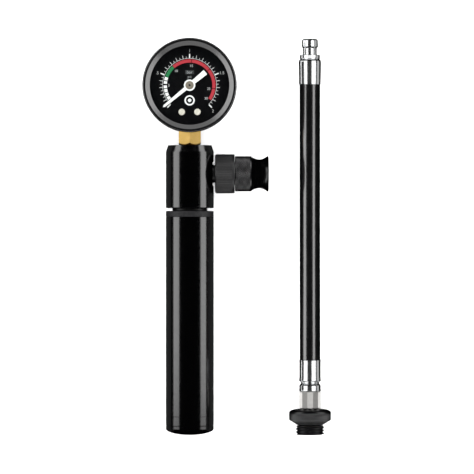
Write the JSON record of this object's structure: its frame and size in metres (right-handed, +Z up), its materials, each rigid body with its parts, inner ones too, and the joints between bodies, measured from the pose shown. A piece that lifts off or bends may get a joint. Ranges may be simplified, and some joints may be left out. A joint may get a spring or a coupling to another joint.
{
  "type": "mini pump with pressure gauge",
  "caption": "Slim hand pump with a dial pressure gauge on its head, a quick coupler on its side and a separate short fill hose with a nipple and a threaded plug.",
  "frame": {"origin": "under the middle of the pump without its hose, on the plane that everything lies on", "axes": "+Y along the pump from the handle to the gauge, +Z up out of the dial, +X out of the side coupler"},
  "size_m": [0.0866, 0.1823, 0.0275],
  "materials": {
    "black_anodised": "gloss black anodised",
    "satin_black": "satin black anodised, knurled",
    "barrel_steel": "black, fine ground",
    "bright_steel": "ground and polished",
    "chrome": "polished",
    "satin_nickel": "satin nickel plate",
    "brass": "turned, bright",
    "copper": "plain",
    "rubber": "smooth black",
    "hose_rubber": "semi-gloss black",
    "bush_plastic": "matt",
    "gauge_black": "gloss black enamel",
    "dial_black": "matt black, printed scale",
    "pointer_white": "satin white",
    "screw_plate": "nickel plated",
    "lens": "clear"
  },
  "bodies": {
    "pump": {"head_body": "black_anodised", "barrel_tube": "barrel_steel", "bumper_ring": "rubber", "barrel_end_bush": "bush_plastic", "barrel_seal": "rubber", "valve_seat": "brass", "valve_spring": "bright_steel", "gauge_stem": "brass", "stem_washer": "copper", "gauge_case": "gauge_black", "gauge_bezel": "gauge_black", "gauge_lens": "lens", "lens_gasket": "rubber", "dial_plate": "dial_black", "dial_screws": "screw_plate", "dial_posts": "brass", "bourdon_tube": "brass", "tube_tip": "brass", "movement_back_plate": "brass", "movement_front_plate": "brass", "movement_pillars": "bright_steel", "hairspring": "bright_steel", "port_adapter": "black_anodised", "port_washer": "copper", "union_seal": "rubber", "socket_body": "bright_steel", "socket_o_ring": "rubber", "snap_ring": "bright_steel", "sleeve_spring": "bright_steel"},
    "piston": {"piston": "brass", "piston_seal": "rubber"},
    "handle": {"piston_screw": "bright_steel", "piston_rod": "bright_steel", "rod_nut": "bright_steel", "end_cap": "black_anodised", "cap_o_ring": "rubber", "handle_sleeve": "black_anodised", "sleeve_collar": "satin_black", "collar_bush": "bush_plastic"},
    "valve_ball": {"valve_ball": "bright_steel"},
    "union_ring": {"union_ring": "satin_black"},
    "release_sleeve": {"release_sleeve": "satin_black"},
    "lock_ball_1": {"lock_ball_1": "bright_steel"},
    "lock_ball_2": {"lock_ball_2": "bright_steel"},
    "lock_ball_3": {"lock_ball_3": "bright_steel"},
    "sector": {"sector_gear": "brass"},
    "link": {"tip_link": "brass"},
    "pointer": {"pinion_arbor": "bright_steel", "pointer": "pointer_white", "pointer_cap": "brass"},
    "hose": {"hose_tube": "hose_rubber", "upper_ferrule": "chrome", "hose_nipple": "chrome", "nipple_washer": "satin_nickel", "lower_ferrule": "chrome", "swivel_stem": "chrome", "swivel_nut": "satin_nickel"},
    "thumb_collar": {"thumb_adapter": "black_anodised", "thread_o_ring": "rubber"}
  },
  "joints": [
    {"name": "pump_stroke", "type": "slide", "parent": "pump", "child": "piston", "axis": [0, -1, 0], "range_m": [0, 0.074]},
    {"name": "handle_turn", "type": "hinge", "parent": "piston", "child": "handle", "pos_m": [-0.00735, -0.03705, 0.011], "axis": [0, 1, 0], "continuous": true},
    {"name": "check_valve", "type": "slide", "parent": "pump", "child": "valve_ball", "axis": [0, 1, 0], "range_m": [0, 0.0012], "stiffness_N_per_m": 60, "deforming": ["valve_spring"]},
    {"name": "union_ring_turn", "type": "hinge", "parent": "pump", "child": "union_ring", "pos_m": [0.00865, 0.02905, 0.011], "axis": [1, 0, 0], "continuous": true},
    {"name": "sleeve_slide", "type": "slide", "parent": "pump", "child": "release_sleeve", "axis": [1, 0, 0], "range_m": [0, 0.0022], "deforming": ["sleeve_spring"]},
    {"name": "lock_ball_1_in", "type": "slide", "parent": "pump", "child": "lock_ball_1", "axis": [0, 0, 1], "range_m": [0, 0.00058]},
    {"name": "lock_ball_2_in", "type": "slide", "parent": "pump", "child": "lock_ball_2", "axis": [0, -0.866, -0.5], "range_m": [0, 0.00058]},
    {"name": "lock_ball_3_in", "type": "slide", "parent": "pump", "child": "lock_ball_3", "axis": [0, 0.866, -0.5], "range_m": [0, 0.00058]},
    {"name": "sector_swing", "type": "hinge", "parent": "pump", "child": "sector", "pos_m": [0.00065, 0.06591, 0.0122], "axis": [0, 0, 1], "range_deg": [0, 44]},
    {"name": "pointer_turn", "type": "hinge", "parent": "pump", "child": "pointer", "pos_m": [-0.00735, 0.06945, 0.023], "axis": [0, 0, -1], "range_deg": [0, 264]},
    {"name": "link_swing", "type": "hinge", "parent": "sector", "child": "link", "pos_m": [-0.00085, 0.0622, 0.0146], "axis": [0, 0, 1], "range_deg": [-44, 0]},
    {"name": "hose_lift", "type": "slide", "parent": "pump", "child": "hose", "axis": [0, 0, 1], "range_m": [0, 0.1]},
    {"name": "thumb_collar_turn", "type": "hinge", "parent": "hose", "child": "thumb_collar", "pos_m": [0.04795, -0.08245, 0.00965], "axis": [0, 1, 0], "continuous": true}
  ],
  "couplings": [
    {"joint": "pointer_turn", "follows": "sector_swing", "ratio": 6},
    {"joint": "link_swing", "follows": "sector_swing", "ratio": -1},
    {"joint": "lock_ball_1_in", "follows": "sleeve_slide", "ratio": 0.2636},
    {"joint": "lock_ball_2_in", "follows": "sleeve_slide", "ratio": 0.2636},
    {"joint": "lock_ball_3_in", "follows": "sleeve_slide", "ratio": 0.2636}
  ]
}
